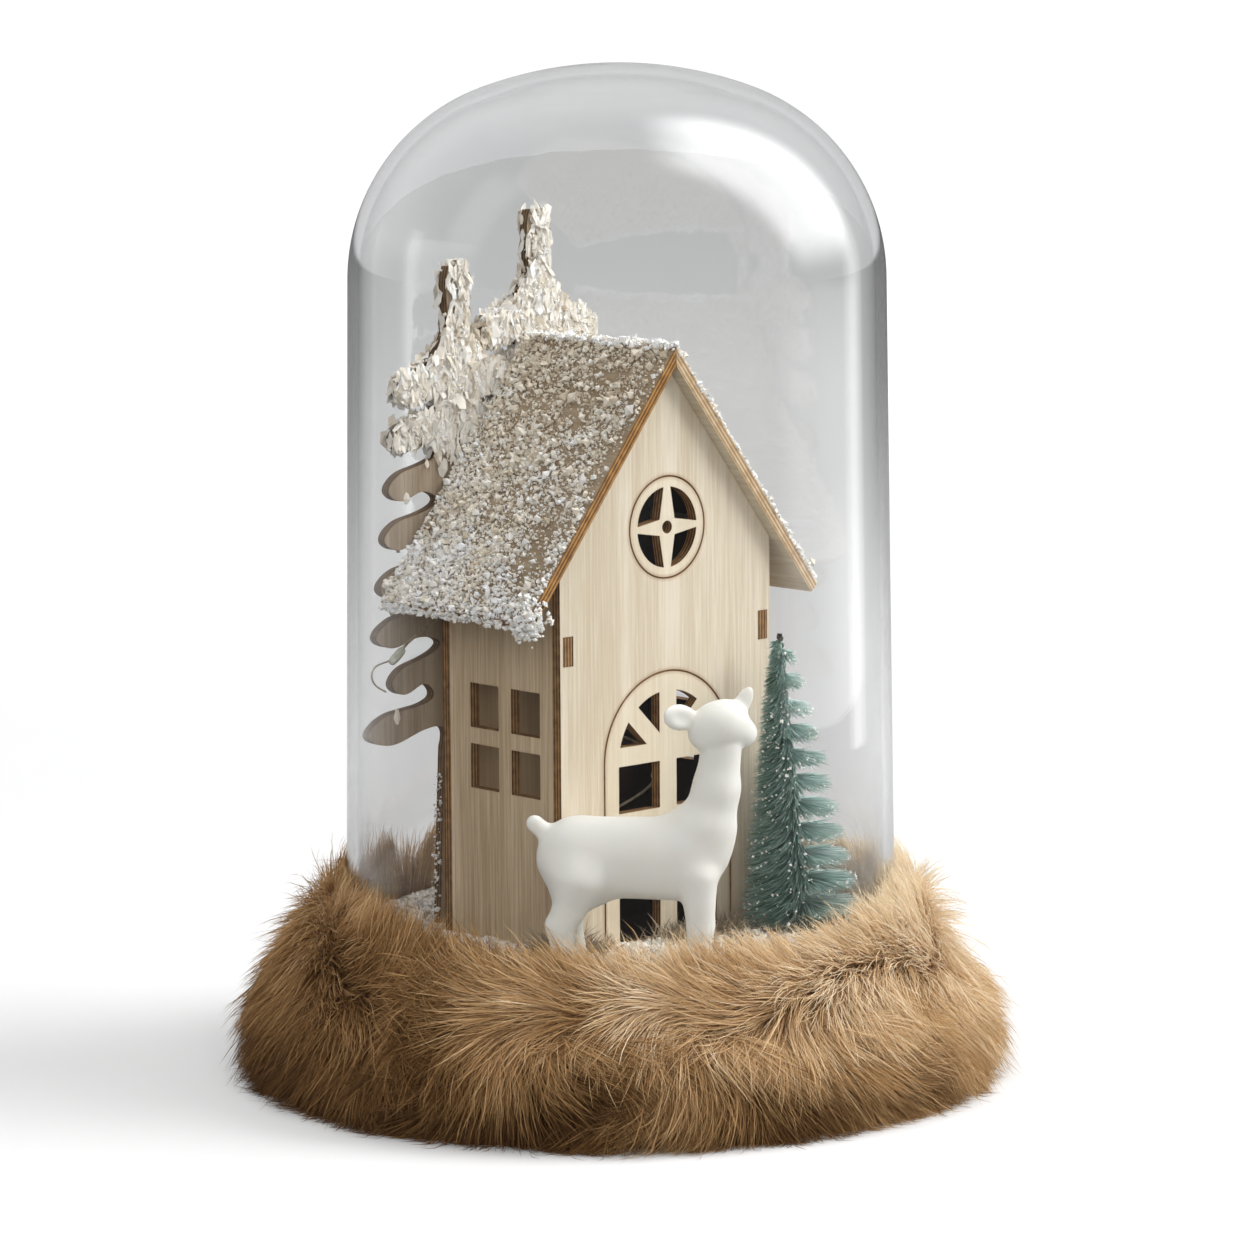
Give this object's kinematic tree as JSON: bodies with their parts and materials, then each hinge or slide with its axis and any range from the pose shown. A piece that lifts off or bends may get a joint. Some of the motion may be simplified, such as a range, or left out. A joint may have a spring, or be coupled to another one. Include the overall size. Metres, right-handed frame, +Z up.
{
  "type": "snow globe",
  "caption": "Glass dome on a fur-trimmed round base over a plywood house, firs, a bottle-brush tree and a deer in snow, with a lift-off dome and a battery box underneath.",
  "frame": {"origin": "centre of the underside, where the felt pad rests, on the dome's axis", "axes": "+Z up along the dome's axis, -Y out of the front of the house, +X to the house's right as seen from the front"},
  "size_m": [0.168, 0.168, 0.219],
  "materials": {
    "dome_glass": "clear blown glass, polished",
    "base_wood": "turned wooden board, oiled",
    "felt": "thin glued felt",
    "fur": "long-pile imitation fur, tan to brown",
    "snow": "glued snow granules",
    "birch_ply": "laser-cut birch plywood with browned edges",
    "roof_ply": "plywood flocked with snow granules",
    "fir_ply": "plywood with browned edges and snow flock",
    "stem_wire": "twisted wire",
    "bristles": "blue-green bristles with snow specks",
    "bisque": "unglazed white bisque",
    "lamp_wire": "fine lacquered wire",
    "lamp_resin": "clear resin drops over the lamps",
    "box_plastic": "black moulded plastic",
    "switch_metal": "pressed steel case",
    "knob_plastic": "black moulded plastic",
    "battery_can": "plain printed steel can, no lettering",
    "contact_metal": "nickel-plated spring steel",
    "resistor_paint": "painted barrel",
    "screw_steel": "zinc-plated steel"
  },
  "bodies": {
    "root": {"base_board": "base_wood", "felt_pad": "felt", "fur_trim": "fur", "snow_bed": "snow", "house_front_wall": "birch_ply", "house_back_wall": "birch_ply", "house_left_wall": "birch_ply", "house_right_wall": "birch_ply", "roof_left_panel": "roof_ply", "roof_right_panel": "roof_ply", "fir_tree_short": "fir_ply", "fir_tree_tall": "fir_ply", "brush_tree_stem": "stem_wire", "brush_tree_bristles": "bristles", "deer_figurine": "bisque", "light_wire": "lamp_wire", "light_beads": "lamp_resin", "battery_box": "box_plastic", "switch_body": "switch_metal", "batteries": "battery_can", "contact_plates": "contact_metal", "contact_springs": "contact_metal", "series_resistor": "resistor_paint", "box_screws": "screw_steel"},
    "dome": {"glass_dome": "dome_glass"},
    "cover": {"battery_cover": "box_plastic"},
    "knob": {"switch_knob": "knob_plastic"}
  },
  "joints": [
    {"name": "dome_lift", "type": "slide", "parent": "root", "child": "dome", "axis": [0, 0, 1], "range_m": [0, 0.2]},
    {"name": "cover_slide", "type": "slide", "parent": "root", "child": "cover", "axis": [-1, 0, 0], "range_m": [0, 0.008]},
    {"name": "switch_slide", "type": "slide", "parent": "root", "child": "knob", "axis": [0, 1, 0], "range_m": [0, 0.002]}
  ]
}
